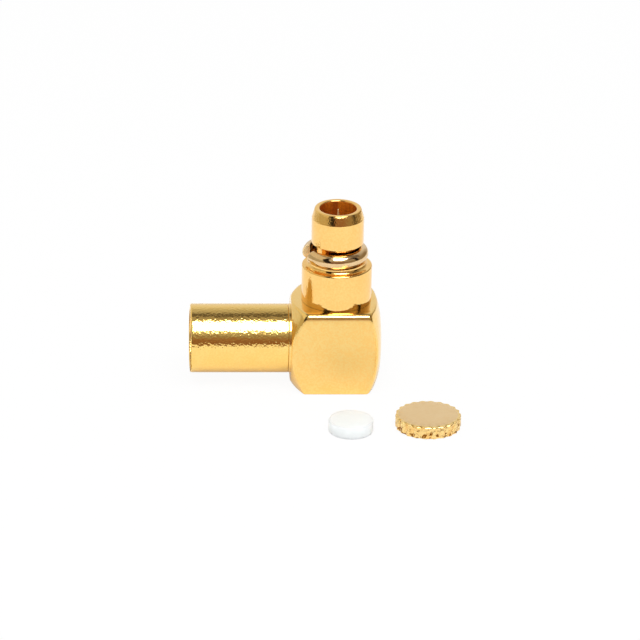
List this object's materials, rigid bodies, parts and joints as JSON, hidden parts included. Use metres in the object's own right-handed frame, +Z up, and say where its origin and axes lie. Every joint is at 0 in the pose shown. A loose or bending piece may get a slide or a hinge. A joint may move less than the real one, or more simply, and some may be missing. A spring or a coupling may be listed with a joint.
{
  "type": "right-angle coaxial plug",
  "caption": "Gold-plated right-angle push-on coaxial cable plug with split snap ring, crimp ferrule and its loose insulator disc and knurled rear cap.",
  "frame": {"origin": "centre of the footprint of everything, at the height of the table that the block, disc and cap stand on", "axes": "+Z up along the plug's axis towards its mouth, -X along the cable's axis out of the ferrule"},
  "size_m": [0.0124, 0.009, 0.0086],
  "materials": {
    "gold_plate": "polished gold plate",
    "contact_gold": "polished gold plate, turned",
    "ferrule_gold": "satin gold plate",
    "cap_gold": "matte pale gold plate",
    "spring_nickel_gold": "thin pale plate over nickel",
    "fluoropolymer": "milky white"
  },
  "bodies": {
    "plug": {"housing_block": "gold_plate", "outer_contact": "contact_gold", "front_insulator": "fluoropolymer", "center_contact": "contact_gold", "insulator_disc": "fluoropolymer", "rear_cap": "cap_gold"},
    "ring": {"snap_ring": "spring_nickel_gold"},
    "ferrule": {"crimp_ferrule": "ferrule_gold"}
  },
  "joints": [
    {"name": "ring_turn", "type": "hinge", "parent": "plug", "child": "ring", "pos_m": [0.00051, 0.00251, 0.00632], "axis": [0, 0, 1], "continuous": true},
    {"name": "ferrule_slide", "type": "slide", "parent": "plug", "child": "ferrule", "axis": [-1, 0, 0], "range_m": [0, 0.0039]}
  ]
}
